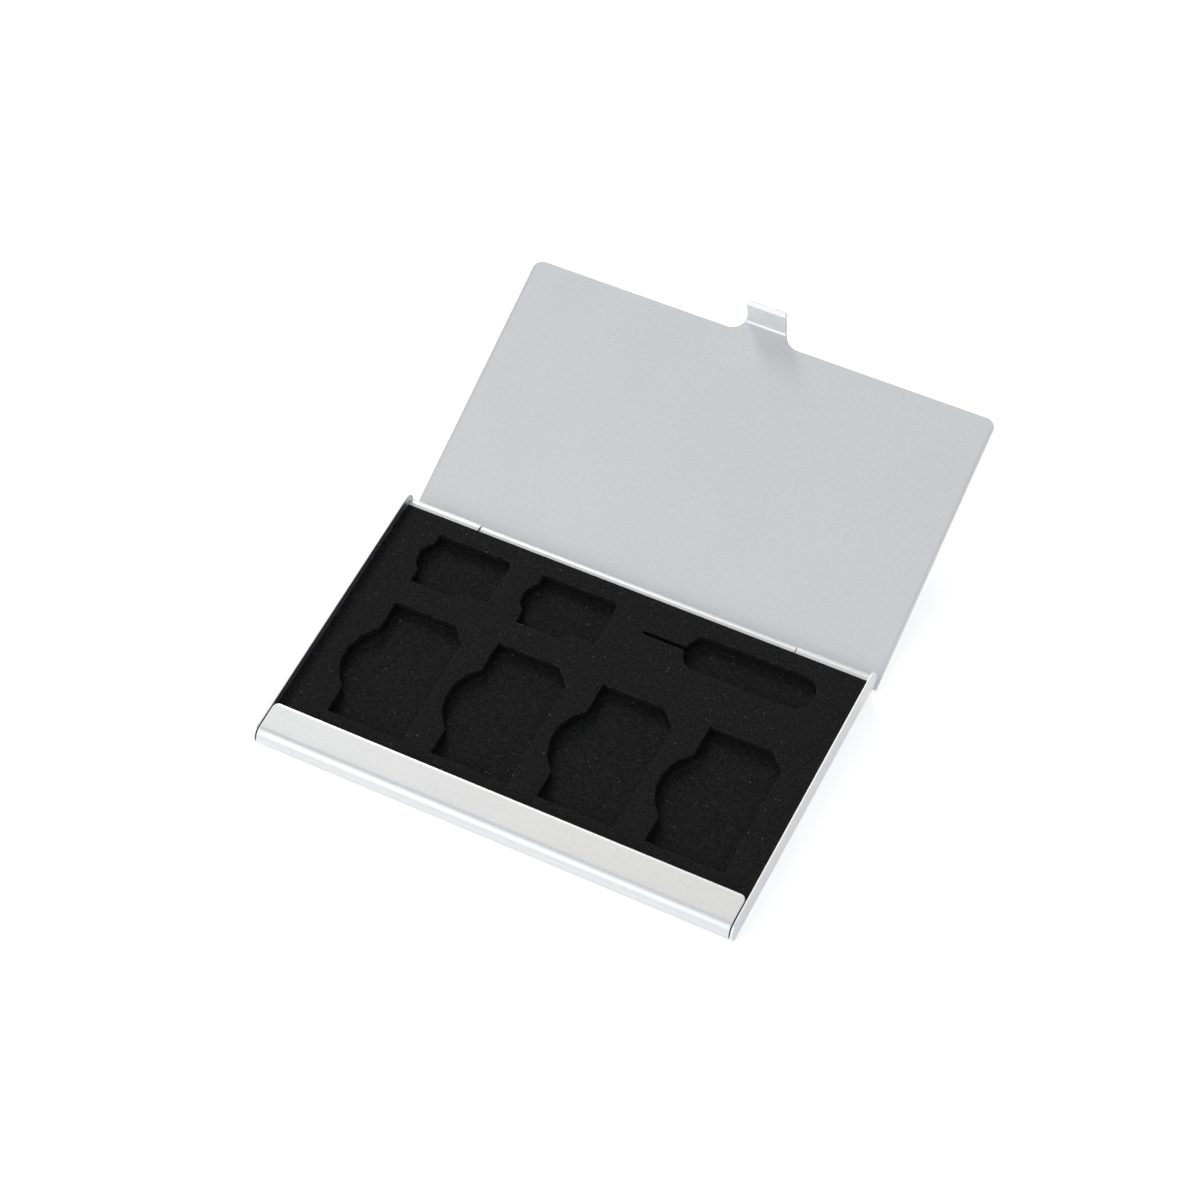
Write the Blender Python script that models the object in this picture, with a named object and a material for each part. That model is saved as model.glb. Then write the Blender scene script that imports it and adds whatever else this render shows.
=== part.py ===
"""Flat aluminium case for SIM cards, shown with its lid open.

The tray and the lid are each folded from one thin sheet, and a pin joins their rolled
knuckles. X runs along the hinge, the front roll faces -Y and Z points up. The origin is the
middle of the tray's underside.
"""
import math

import bmesh
import bpy
from mathutils import Matrix, Vector

MM = 0.001

# Sheet metal
SHEET = 0.45 * MM
SEAM = 0.25 * MM
FOLD_OVERLAP = 2.0 * MM

# Tray
CASE_WIDTH = 94.05 * MM
CASE_DEPTH = 57.5 * MM
TRAY_HEIGHT = 4.45 * MM
WALL_BEND_RADIUS = 0.75 * MM
LIP_DEPTH = 7.48 * MM
LIP_CORNER = 1.1 * MM

# Catch mark pressed into the front roll
CATCH_LENGTH = 3.0 * MM
CATCH_WIDTH = 0.9 * MM
CATCH_DEPTH = 0.14 * MM
CATCH_ANGLE = math.radians(20)

# Hinge
PIN_RADIUS = 0.6 * MM
PIN_CHAMFER = 0.12 * MM
PIN_END_GAP = 0.3 * MM
LID_KNUCKLE_CLEARANCE = 0.05 * MM
TRAY_KNUCKLE_CLEARANCE = 0.2 * MM
LID_KNUCKLE_LENGTH = 63.6 * MM
HINGE_INSET = 1.25 * MM
TRAY_KNUCKLE_WRAP = math.radians(300)
LID_KNUCKLE_WRAP = math.radians(290)
OPENING_ANGLE = math.radians(163.7)
SWING_CLEARANCE = 0.15 * MM
STOP_GAP = 0.08 * MM

# Lid
LID_CLEARANCE = 0.05 * MM
LID_BEND_RADIUS = 0.9 * MM
LID_CORNER = 2.0 * MM
LID_SIDE_INSET = 0.95 * MM

# Latch tab, bent round the front roll
TAB_WIDTH = 8.05 * MM
TAB_ROOT_FILLET = 3.3 * MM
TAB_ROOT_SWING = math.radians(78)
TAB_REACH = 1.68 * MM
TAB_BEND_RADIUS = 0.8 * MM
TAB_BEND = math.radians(50)
TAB_CURVE_RADIUS = 5.06 * MM
TAB_CURVE = math.radians(30)
TAB_STRAIGHT = 0.95 * MM
TAB_FLARE_RADIUS = 0.1 * MM
TAB_FLARE = math.radians(62)
TAB_FLARE_LENGTH = 0.85 * MM
TAB_TIP_CORNER = 0.9 * MM
TAB_TIP_TRIM = 0.02 * MM
BEAD_LENGTH = 3.0 * MM
BEAD_WIDTH = 0.9 * MM
BEAD_HEIGHT = 0.2 * MM
BEAD_SINK = 0.02 * MM

# Foam insert and the two layers under it
LAYER_GAP = 0.05 * MM
FILM_THICKNESS = 0.08 * MM
BACKING_THICKNESS = 0.3 * MM
FOAM_THICKNESS = 1.77 * MM
FOAM_GAP = 0.15 * MM
FOAM_BACK_INSET = 0.75 * MM
LAYER_EDGE_GAP = 0.3 * MM

# Pockets for full-size SIM cards, along the front
CARD_COUNT = 4
CARD_WIDTH = 15.2 * MM
CARD_LENGTH = 25.02 * MM
CARD_CHAMFER = 3.0 * MM
CARD_WEB = 2.64 * MM
CARD_ROW_SHIFT = 1.3 * MM
CARD_ROW_FRONT = 10.63 * MM
CARD_FINGER_CHORD = 13.4 * MM
CARD_FINGER_DEPTH = 3.2 * MM
CARD_FINGER_PLACE = 12.9 * MM
CARD_FINGER_FILLET = 1.0 * MM

# Pockets for small memory cards, in the back row
BACK_ROW_INSET = 3.61 * MM
SMALL_COUNT = 2
SMALL_LEFT = 37.78 * MM
SMALL_WIDTH = 15.1 * MM
SMALL_LENGTH = 11.0 * MM
SMALL_STEP = 1.5 * MM
SMALL_WIDE_END = 8.5 * MM
SMALL_CORNER = 1.0 * MM
SMALL_WEB = 4.88 * MM
SMALL_FINGER_CHORD = 6.4 * MM
SMALL_FINGER_DEPTH = 1.6 * MM
SMALL_FINGER_PLACE = 5.14 * MM
SMALL_FINGER_FILLET = 0.6 * MM

# Pocket and slit for the tray-eject pin, in the back row
EJECT_LEFT = 14.2 * MM
EJECT_LENGTH = 24.9 * MM
EJECT_WIDTH = 7.0 * MM
EJECT_CORNER = 3.0 * MM
SLIT_LENGTH = 8.6 * MM
SLIT_WIDTH = 0.8 * MM
SLIT_FILLET = 0.5 * MM

# How finely curves are divided, how far cutters reach past their work, and the finest step
CURVE_STEP = math.radians(9)
PAST = 3.0 * MM
DECIMALS = 8
EDGE_ANGLE = math.radians(30)

# Lines that several pieces share
QUARTER = math.pi / 2
HALF_WIDTH = CASE_WIDTH / 2
HALF_INSIDE = HALF_WIDTH - SHEET
HALF_FOLD = HALF_INSIDE - SEAM
FRONT = -CASE_DEPTH / 2
ROLL_RADIUS = TRAY_HEIGHT / 2
ROLL_Y = FRONT + ROLL_RADIUS
TRAY_KNUCKLE = PIN_RADIUS + TRAY_KNUCKLE_CLEARANCE + SHEET
LID_KNUCKLE = PIN_RADIUS + LID_KNUCKLE_CLEARANCE + SHEET
PIVOT_Y = CASE_DEPTH / 2 - HINGE_INSET
PIVOT_Z = TRAY_KNUCKLE
LID_INSIDE = TRAY_HEIGHT + LID_CLEARANCE
LID_FRONT = ROLL_Y
FILM_BOTTOM = SHEET + LAYER_GAP
BACKING_BOTTOM = FILM_BOTTOM + FILM_THICKNESS + LAYER_GAP
FOAM_BOTTOM = BACKING_BOTTOM + BACKING_THICKNESS + LAYER_GAP
FOAM_TOP = FOAM_BOTTOM + FOAM_THICKNESS
FOAM_BACK = PIVOT_Y - FOAM_BACK_INSET


class SheetPath:
    """Middle line of a folded sheet, drawn as straight runs and round bends."""

    def __init__(self, start, heading):
        self.point = Vector(start)
        self.heading = heading
        self.stations = [(self.point, heading)]

    def run(self, length):
        self.point = self.point + length * toward(self.heading)
        self.stations.append((self.point, self.heading))
        return self

    def bend(self, radius, angle):
        """Turns left by the angle, or right where it is negative."""
        side = math.copysign(radius, angle)
        centre = self.point + side * toward(self.heading + QUARTER)
        for turned in steps(0, angle)[1:]:
            heading = self.heading + turned
            point = centre - side * toward(heading + QUARTER)
            self.stations.append((point, heading))
        self.point, self.heading = self.stations[-1]
        return self

    def outline(self):
        """Both faces of the sheet, half its thickness to each side of the middle line."""
        left = [point + SHEET / 2 * toward(heading + QUARTER) for point, heading in self.stations]
        right = [point - SHEET / 2 * toward(heading + QUARTER) for point, heading in self.stations]
        return left + right[::-1]


def toward(angle):
    return Vector((math.cos(angle), math.sin(angle)))


def steps(first, last):
    count = max(1, math.ceil(abs(last - first) / CURVE_STEP))
    return [first + (last - first) * step / count for step in range(count + 1)]


def arc(centre, radius, first, last):
    """Points of a round stretch from one angle to another, given in degrees."""
    return [Vector(centre) + radius * toward(angle)
            for angle in steps(math.radians(first), math.radians(last))]


def mirrored(points):
    """The same points on the other side of the middle, in reverse order."""
    return [Vector((-point.x, point.y)) for point in reversed(points)]


def circle_height(radius, away):
    """How far a circle stands from its diameter at a distance from its centre."""
    return math.sqrt(max(radius ** 2 - away ** 2, 0))


def roll_inside(z):
    """Where the inner face of the front roll is at a height."""
    return ROLL_Y - circle_height(ROLL_RADIUS - SHEET, ROLL_RADIUS - z)


def knuckle_front(z):
    """Where the space that the knuckles need begins at a height."""
    return PIVOT_Y - circle_height(TRAY_KNUCKLE + SWING_CLEARANCE, PIVOT_Z - z)


def floor_back():
    """The tray's floor ends where the opened lid leans on it, clear of the lid's knuckle."""
    lean = math.pi - OPENING_ANGLE
    drop = PIVOT_Z - SHEET
    stop = (LID_KNUCKLE + STOP_GAP - drop * math.sin(lean)) / math.cos(lean)
    return PIVOT_Y - max(stop, circle_height(LID_KNUCKLE + SWING_CLEARANCE, drop))


def clear_scene():
    for item in list(bpy.data.objects):
        bpy.data.objects.remove(item)


def make_material(name, colour, metallic, roughness):
    material = bpy.data.materials.new(name)
    material.use_nodes = True
    shader = material.node_tree.nodes["Principled BSDF"]
    shader.inputs["Base Color"].default_value = (*colour, 1)
    shader.inputs["Metallic"].default_value = metallic
    shader.inputs["Roughness"].default_value = roughness
    return material


def add_object(name, shape, material=None):
    """Makes an object of a bmesh, or a hidden cutter where it has no material."""
    mesh = bpy.data.meshes.new(name)
    bmesh.ops.recalc_face_normals(shape, faces=shape.faces)
    shape.to_mesh(mesh)
    shape.free()
    mesh.shade_smooth()
    mesh.set_sharp_from_angle(angle=EDGE_ANGLE)
    item = bpy.data.objects.new(name, mesh)
    bpy.context.collection.objects.link(item)
    if material:
        mesh.materials.append(material)
    else:
        item.hide_render = True
        item.display_type = "WIRE"
    return item


def prism(name, outline, axis, low, high, material=None):
    """An outline carried along one axis. Its points give the other two, in alphabetical order."""
    place = {
        "X": lambda point, along: (along, point.x, point.y),
        "Y": lambda point, along: (point.x, along, point.y),
        "Z": lambda point, along: (point.x, point.y, along),
    }[axis]
    shape = bmesh.new()
    corners = [shape.verts.new([round(value, DECIMALS) for value in place(point, low)])
               for point in outline]
    face = shape.faces.new(corners)
    grown = bmesh.ops.extrude_face_region(shape, geom=[face])
    travel = Vector(place(Vector((0, 0)), round(high - low, DECIMALS)))
    moved = [part for part in grown["geom"] if isinstance(part, bmesh.types.BMVert)]
    bmesh.ops.translate(shape, verts=moved, vec=travel)
    return add_object(name, shape, material)


def block(name, low, high, material=None):
    corners = [(low[0], low[1]), (high[0], low[1]), (high[0], high[1]), (low[0], high[1])]
    return prism(name, [Vector(corner) for corner in corners], "Z", low[2], high[2], material)


def dimple(name, length, width, height, centre, tilt):
    """A long rounded bead for a pressed mark, turned by the tilt about X."""
    shape = bmesh.new()
    bmesh.ops.create_uvsphere(shape, u_segments=24, v_segments=12, radius=0.5)
    stretch = Matrix.Diagonal((length, 2 * height, width, 1))
    bmesh.ops.rotate(shape, verts=shape.verts, matrix=Matrix.Rotation(QUARTER, 3, "Y"))
    bmesh.ops.transform(shape, verts=shape.verts, matrix=stretch)
    bmesh.ops.rotate(shape, verts=shape.verts, matrix=Matrix.Rotation(tilt, 3, "X"))
    bmesh.ops.translate(shape, verts=shape.verts, vec=centre)
    return add_object(name, shape)


def combine(item, operation, *others):
    for other in others:
        modifier = item.modifiers.new(other.name, "BOOLEAN")
        modifier.operation = operation
        modifier.solver = "EXACT"
        modifier.object = other


def make_tray(material):
    """Floor and side walls, then the front roll with its lip and the two back knuckles."""
    rise = TRAY_HEIGHT + PAST - WALL_BEND_RADIUS
    middle = WALL_BEND_RADIUS - SHEET / 2
    channel = SheetPath((SHEET / 2 - HALF_WIDTH, TRAY_HEIGHT + PAST), -QUARTER)
    channel.run(rise).bend(middle, QUARTER).run(CASE_WIDTH - 2 * WALL_BEND_RADIUS)
    channel.bend(middle, QUARTER).run(rise)
    tray = prism("tray", channel.outline(), "Y", FRONT - PAST, PAST - FRONT, material)
    combine(tray, "INTERSECT", wall_ends())
    back = floor_back()
    below, above = -PAST, TRAY_HEIGHT + PAST
    combine(
        tray, "DIFFERENCE",
        block("front_relief", (-HALF_INSIDE, FRONT - PAST, below), (HALF_INSIDE, ROLL_Y, above)),
        block("back_relief", (-HALF_INSIDE, back, below), (HALF_INSIDE, PAST - FRONT, above)),
    )
    combine(tray, "UNION", front_roll(), tray_knuckle("right_knuckle", 1, back),
            tray_knuckle("left_knuckle", -1, back))
    combine(tray, "DIFFERENCE", catch_mark())
    return tray


def wall_ends():
    """Side view of the walls: straight along the middle, with half-round ends."""
    outline = arc((ROLL_Y, ROLL_RADIUS), ROLL_RADIUS, 270, 90)
    outline += arc((-ROLL_Y, ROLL_RADIUS), ROLL_RADIUS, 90, -90)
    return prism("wall_ends", outline, "X", -HALF_WIDTH - PAST, HALF_WIDTH + PAST)


def front_roll():
    """The sheet goes on from the floor, round the roll and back as the flat lip."""
    lip_back = FRONT + LIP_DEPTH
    path = SheetPath((ROLL_Y + FOLD_OVERLAP, SHEET / 2), math.pi)
    path.run(FOLD_OVERLAP).bend(ROLL_RADIUS - SHEET / 2, -math.pi).run(lip_back + PAST - ROLL_Y)
    roll = prism("front_roll", path.outline(), "X", -HALF_WIDTH, HALF_WIDTH)
    corner = (HALF_FOLD - LIP_CORNER, lip_back - LIP_CORNER)
    side = [Vector((HALF_FOLD, FRONT - PAST))] + arc(corner, LIP_CORNER, 0, 90)
    plan = prism("lip_plan", side + mirrored(side), "Z", -PAST, TRAY_HEIGHT + PAST)
    combine(roll, "INTERSECT", plan)
    return roll


def tray_knuckle(name, side, back):
    """The sheet goes on from the floor and curls up, over and down in front of the pin."""
    path = SheetPath((back - FOLD_OVERLAP, SHEET / 2), 0)
    path.run(PIVOT_Y - back + FOLD_OVERLAP).bend(TRAY_KNUCKLE - SHEET / 2, TRAY_KNUCKLE_WRAP)
    ends = sorted((side * (LID_KNUCKLE_LENGTH / 2 + SEAM), side * HALF_FOLD))
    return prism(name, path.outline(), "X", *ends)


def catch_mark():
    """A long shallow mark low on the roll, where the tab's bead comes to rest."""
    away = toward(math.pi + CATCH_ANGLE)
    centre = (0, ROLL_Y + ROLL_RADIUS * away.x, ROLL_RADIUS + ROLL_RADIUS * away.y)
    return dimple("catch_mark", CATCH_LENGTH, CATCH_WIDTH, CATCH_DEPTH, centre, CATCH_ANGLE)


def make_hinge_pin(material):
    length = 2 * (HALF_INSIDE - PIN_END_GAP)
    shape = bmesh.new()
    bmesh.ops.create_cone(shape, cap_ends=True, segments=24, radius1=PIN_RADIUS,
                          radius2=PIN_RADIUS, depth=length)
    bmesh.ops.rotate(shape, verts=shape.verts, matrix=Matrix.Rotation(QUARTER, 3, "Y"))
    pin = add_object("hinge_pin", shape, material)
    pin.location = (0, PIVOT_Y, PIVOT_Z)
    chamfer = pin.modifiers.new("chamfer", "BEVEL")
    chamfer.width = PIN_CHAMFER
    chamfer.limit_method = "ANGLE"
    return pin


def lid_path():
    """Section of the closed lid, from the knuckle's free edge to the tab's tip."""
    middle = LID_KNUCKLE - SHEET / 2
    bend = LID_BEND_RADIUS - SHEET / 2
    free_edge = 2 * math.pi - LID_KNUCKLE_WRAP
    path = SheetPath(middle * toward(free_edge), free_edge + QUARTER)
    path.bend(middle, LID_KNUCKLE_WRAP).run(LID_INSIDE + SHEET - LID_BEND_RADIUS - PIVOT_Z)
    path.bend(bend, QUARTER).run(PIVOT_Y + middle - bend - LID_FRONT + TAB_REACH)
    path.bend(TAB_BEND_RADIUS + SHEET / 2, TAB_BEND)
    path.bend(TAB_CURVE_RADIUS + SHEET / 2, TAB_CURVE)
    path.run(TAB_STRAIGHT / 2)
    bead_place = path.stations[-1]
    path.run(TAB_STRAIGHT / 2)
    path.bend(TAB_FLARE_RADIUS + SHEET / 2, -TAB_FLARE).run(TAB_FLARE_LENGTH)
    return path, bead_place


def lid_plan(tip):
    """Plan of the closed lid: its corners, its latch tab and the narrower bend at the back."""
    front = LID_FRONT - PIVOT_Y
    side_end = HINGE_INSET - LID_SIDE_INSET
    half_tab = TAB_WIDTH / 2
    root = (half_tab + TAB_ROOT_FILLET, front - TAB_ROOT_FILLET * math.sin(TAB_ROOT_SWING))
    side = arc((half_tab - TAB_TIP_CORNER, tip + TAB_TIP_CORNER), TAB_TIP_CORNER, 270, 360)
    side += arc(root, TAB_ROOT_FILLET, 180, 180 - math.degrees(TAB_ROOT_SWING))
    side += arc((HALF_WIDTH - LID_CORNER, front + LID_CORNER), LID_CORNER, 270, 360)
    side.append(Vector((HALF_WIDTH, side_end)))
    side.append(Vector((HALF_FOLD, side_end)))
    side.append(Vector((HALF_FOLD, LID_KNUCKLE + PAST)))
    return prism("lid_plan", side + mirrored(side), "Z", -LID_INSIDE - PAST, LID_INSIDE + PAST)


def make_lid(material):
    """The lid is drawn closed, about the hinge, and then turned open."""
    path, bead_place = lid_path()
    section = path.outline()
    lid = prism("lid", section, "X", -HALF_WIDTH - PAST, HALF_WIDTH + PAST, material)
    tip = min(point.x for point in section) + TAB_TIP_TRIM
    plan = lid_plan(tip)
    combine(lid, "INTERSECT", plan)
    reach = LID_KNUCKLE + PAST
    room = TRAY_KNUCKLE + SWING_CLEARANCE
    notches = []
    for name, side in (("right_notch", 1), ("left_notch", -1)):
        ends = sorted((side * LID_KNUCKLE_LENGTH / 2, side * (HALF_WIDTH + PAST)))
        notches.append(block(name, (ends[0], -reach, -reach), (ends[1], reach, room)))
    combine(lid, "DIFFERENCE", *notches)
    point, heading = bead_place
    inward = toward(heading + QUARTER)
    inner = point + (SHEET / 2 - BEAD_SINK) * inward
    outer = point - (SHEET / 2 + BEAD_SINK) * inward
    tilt = math.atan2(inward.y, inward.x)
    size = (BEAD_LENGTH, BEAD_WIDTH, BEAD_HEIGHT)
    bead = dimple("tab_bead", *size, (0, *inner), tilt)
    hollow = dimple("tab_bead_back", *size, (0, *outer), tilt)
    combine(lid, "UNION", bead)
    combine(lid, "DIFFERENCE", hollow)
    hinge = bpy.data.objects.new("lid_hinge", None)
    bpy.context.collection.objects.link(hinge)
    hinge.location = (0, PIVOT_Y, PIVOT_Z)
    hinge.rotation_euler.x = -OPENING_ANGLE
    for item in (lid, plan, *notches, bead, hollow):
        item.parent = hinge
    return lid


def finger_notch(left, centre, chord, depth, fillet):
    """Left side of a pocket, from back to front, with a round notch for a fingertip.

    The notch is an arc of the given chord and depth, and a fillet eases it into the side.
    """
    radius = (chord ** 2 / 4 + depth ** 2) / (2 * depth)
    offset = radius - depth
    reach = circle_height(radius + fillet, offset + fillet)
    swing = math.degrees(math.atan2(reach, offset + fillet))
    notch = arc((left - fillet, centre + reach), fillet, 0, -swing)
    notch += arc((left + offset, centre), radius, 180 - swing, 180 + swing)
    notch += arc((left - fillet, centre - reach), fillet, swing, 0)
    return notch


def card_pockets():
    """Pockets for full-size cards, each with a cut corner and a finger notch on its left."""
    pitch = CARD_WIDTH + CARD_FINGER_DEPTH + CARD_WEB
    first = CARD_ROW_SHIFT - (pitch * (CARD_COUNT - 1) + CARD_WIDTH) / 2
    front = FRONT + CARD_ROW_FRONT
    back = front + CARD_LENGTH
    pockets = []
    for number in range(CARD_COUNT):
        left = first + pitch * number
        right = left + CARD_WIDTH
        outline = [Vector((left, front)), Vector((right, front)),
                   Vector((right, back - CARD_CHAMFER)), Vector((right - CARD_CHAMFER, back)),
                   Vector((left, back))]
        outline += finger_notch(left, back - CARD_FINGER_PLACE, CARD_FINGER_CHORD,
                                CARD_FINGER_DEPTH, CARD_FINGER_FILLET)
        pockets.append(pocket_cutter(f"card_pocket_{number + 1}", outline))
    return pockets


def small_pockets():
    """Pockets for small memory cards, which are wider over part of their length."""
    pitch = SMALL_WIDTH + SMALL_FINGER_DEPTH + SMALL_WEB
    back = FOAM_BACK - BACK_ROW_INSET
    front = back - SMALL_LENGTH
    pockets = []
    for number in range(SMALL_COUNT):
        left = pitch * number - SMALL_LEFT
        right = left + SMALL_WIDTH
        slope = left + SMALL_WIDE_END
        outline = [Vector((left, front)), Vector((slope, front)),
                   Vector((slope + SMALL_STEP, front + SMALL_STEP)),
                   Vector((right, front + SMALL_STEP))]
        outline += arc((right - SMALL_CORNER, back - SMALL_CORNER), SMALL_CORNER, 0, 90)
        outline.append(Vector((left, back)))
        outline += finger_notch(left, back - SMALL_FINGER_PLACE, SMALL_FINGER_CHORD,
                                SMALL_FINGER_DEPTH, SMALL_FINGER_FILLET)
        pockets.append(pocket_cutter(f"small_pocket_{number + 1}", outline))
    return pockets


def eject_pocket():
    """Pocket with round corners for the handle of the pin, and a slit for its shank."""
    back = FOAM_BACK - BACK_ROW_INSET
    middle = back - EJECT_WIDTH / 2
    right = EJECT_LEFT + EJECT_LENGTH
    corner_rise = EJECT_WIDTH / 2 - EJECT_CORNER
    half_slit = SLIT_WIDTH / 2
    fillet_rise = half_slit + SLIT_FILLET
    reach = circle_height(EJECT_CORNER + SLIT_FILLET, fillet_rise - corner_rise)
    corner_x = EJECT_LEFT + EJECT_CORNER
    swing = math.degrees(math.asin((fillet_rise - corner_rise) / (EJECT_CORNER + SLIT_FILLET)))
    slit_end = EJECT_LEFT - SLIT_LENGTH + half_slit
    upper = arc((slit_end, 0), half_slit, 180, 90)
    upper += arc((corner_x - reach, fillet_rise), SLIT_FILLET, 270, 360 - swing)
    upper += arc((corner_x, corner_rise), EJECT_CORNER, 180 - swing, 90)
    upper += arc((right - EJECT_CORNER, corner_rise), EJECT_CORNER, 90, 0)
    lower = [Vector((point.x, -point.y)) for point in reversed(upper[1:])]
    outline = [Vector((point.x, point.y + middle)) for point in upper + lower]
    return pocket_cutter("eject_pocket", outline)


def pocket_cutter(name, outline):
    return prism(name, outline, "Z", FOAM_BOTTOM - PAST, FOAM_TOP + PAST)


def make_foam_insert(material):
    """Die-cut foam under the lip, pressed lightly against the hinge knuckles."""
    half = HALF_INSIDE - FOAM_GAP
    front = roll_inside(FOAM_BOTTOM) + FOAM_GAP
    foam = block("foam_insert", (-half, front, FOAM_BOTTOM), (half, FOAM_BACK, FOAM_TOP), material)
    barrel = arc((PIVOT_Y, PIVOT_Z), TRAY_KNUCKLE + SWING_CLEARANCE, 0, 360)[:-1]
    combine(foam, "DIFFERENCE",
            prism("barrel_room", barrel, "X", -HALF_WIDTH - PAST, HALF_WIDTH + PAST))
    combine(foam, "DIFFERENCE", *card_pockets(), *small_pockets(), eject_pocket())
    return foam


def make_layer(name, bottom, thickness, edge_gap, material):
    """A plain sheet on the tray's floor, clear of the roll, the walls and the knuckles."""
    half = HALF_INSIDE - edge_gap
    front = roll_inside(bottom) + LAYER_EDGE_GAP
    back = knuckle_front(bottom + thickness)
    low = (-half, front, bottom)
    return block(name, low, (half, back, bottom + thickness), material)


def main():
    clear_scene()
    aluminium = make_material("aluminium", (0.78, 0.79, 0.81), 1.0, 0.32)
    steel = make_material("steel", (0.62, 0.61, 0.6), 1.0, 0.3)
    foam = make_material("black_foam", (0.013, 0.013, 0.013), 0.0, 0.95)
    backing = make_material("black_sheet", (0.01, 0.01, 0.01), 0.0, 0.85)
    film = make_material("clear_film", (0.82, 0.8, 0.72), 0.0, 0.4)
    make_tray(aluminium)
    make_lid(aluminium)
    make_hinge_pin(steel)
    make_foam_insert(foam)
    make_layer("foam_backing", BACKING_BOTTOM, BACKING_THICKNESS, LAYER_EDGE_GAP, backing)
    make_layer("adhesive_film", FILM_BOTTOM, FILM_THICKNESS, WALL_BEND_RADIUS, film)


main()
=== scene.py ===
"""Dresses the solids of a flat folded-metal case for SIM cards, shown with its lid open.

Everything is in metres in the solids' own frame: X runs along the hinge, the front roll faces -Y
and Z points up out of the tray. The metal shells are flat patterns that are bent along their
section lines, and the foam is a cut sheet with rounded rims.
"""

import math

import bmesh
import bpy
import numpy as np
from bpy.props import FloatProperty, FloatVectorProperty, PointerProperty
from mathutils import Matrix, Vector
from mathutils.geometry import delaunay_2d_cdt


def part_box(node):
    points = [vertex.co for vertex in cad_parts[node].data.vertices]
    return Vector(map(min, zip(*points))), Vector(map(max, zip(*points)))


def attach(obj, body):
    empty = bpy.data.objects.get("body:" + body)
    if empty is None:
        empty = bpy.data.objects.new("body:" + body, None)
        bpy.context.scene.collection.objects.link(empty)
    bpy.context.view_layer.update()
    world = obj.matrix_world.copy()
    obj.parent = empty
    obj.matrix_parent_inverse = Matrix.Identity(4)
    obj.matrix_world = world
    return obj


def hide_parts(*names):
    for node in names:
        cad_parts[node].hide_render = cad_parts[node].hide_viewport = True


bl_info = {
    "name": "Folded Card Case",
    "version": (1, 0, 0),
    "blender": (4, 5, 0),
    "location": "View3D > Sidebar > Card Case",
    "description": "Makes a folded aluminium case for SIM cards with a cut foam insert",
    "category": "Add Mesh",
}

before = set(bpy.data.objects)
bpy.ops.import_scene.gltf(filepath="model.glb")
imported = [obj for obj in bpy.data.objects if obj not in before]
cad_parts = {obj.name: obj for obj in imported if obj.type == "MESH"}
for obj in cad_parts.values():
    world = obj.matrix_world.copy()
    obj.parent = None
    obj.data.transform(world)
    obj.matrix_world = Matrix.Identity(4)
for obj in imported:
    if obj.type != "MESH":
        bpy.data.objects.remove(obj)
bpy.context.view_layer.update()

MM = 0.001
QUARTER = math.pi / 2

# Boxes of the solids that the pieces follow
TRAY_LOW, TRAY_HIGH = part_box("tray")
FOAM_LOW, FOAM_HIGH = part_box("foam_insert")
BACKING_LOW, BACKING_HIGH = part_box("foam_backing")
PIN_LOW, PIN_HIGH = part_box("hinge_pin")
PIVOT = (PIN_LOW + PIN_HIGH) / 2
PIN_RADIUS = (PIN_HIGH.z - PIN_LOW.z) / 2

# How far apart the points of a piece stand where it bends, and where points are one point
FINE = math.radians(1)
WELD = 0.001 * MM

# How far a corner's finer grid reaches, in corner radii
CORNER_GRID = 1.2

# Finer grids: on the roll about its pressed mark, to each side of the middle, and on the
# latch tab's end, which has the bead and the flare
MARK_GRID = 2.1 * MM
TAB_END_GRID = 2.5 * MM

# Where the lid's full width begins in its back bend
FULL_WIDTH_TURN = math.radians(82)

# Pockets of each kind, and how far apart the points of their outlines stand
CARD_POCKETS = 4
SMALL_POCKETS = 2
OUTLINE_STEP = 0.5 * MM

# The floor touches the front roll and the opened lid's back bend. It is the plane where
# FLOOR_LEAN times y plus FLOOR_RISE times z is FLOOR_LEVEL. It reaches FLOOR_HALF to each
# side, with FLOOR_POINTS points along a side.
FLOOR_LEAN = 0.0438
FLOOR_RISE = 0.99904
FLOOR_LEVEL = -1.164 * MM
FLOOR_HALF = 3.0
FLOOR_POINTS = 13

# Directions of the room's pale front and of the strip behind, and the cosines between which
# each fades in
PALE_FRONT = (-0.26, -0.966, 0)
PALE_FRONT_FADE = (0.0, 0.3)
STRIP = (0.0, 0.42, 0.9075)
STRIP_FADE = (0.90, 0.97)

# Heights, as sines, where the white backdrop has faded out and where it is full
BACKDROP_END = 0.5
BACKDROP_FULL = 0.3

# Where the two lamps stand
BACK_LAMP_PLACE = (-1.53, 1.77, 1.40)
FRONT_LAMP_PLACE = (-0.70, -0.98, 1.05)

# The photograph's camera
CAMERA_PLACE = (187.612 * MM, -255.624 * MM, 503.265 * MM)
CAMERA_RIGHT = (0.884007, 0.459909, -0.083760)
CAMERA_UP = (-0.342582, 0.759260, 0.553319)
CAMERA_BACK = (0.318072, -0.460443, 0.828747)
CAMERA_LENS = 101.312
CAMERA_SENSOR = 36.0


# Sizes and colours


def length(name, description, default):
    return FloatProperty(name=name, description=description, default=default, min=0.0,
                         unit="LENGTH", precision=5)


def colour(name, description, default):
    return FloatVectorProperty(name=name, description=description, default=default, size=3,
                               subtype="COLOR", min=0.0, max=1.0)


def share(name, description, default, high=1.0):
    return FloatProperty(name=name, description=description, default=default, min=0.0, max=high)


def bend_angle(name, description, degrees):
    return FloatProperty(name=name, description=description, default=math.radians(degrees),
                         subtype="ANGLE")


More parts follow.
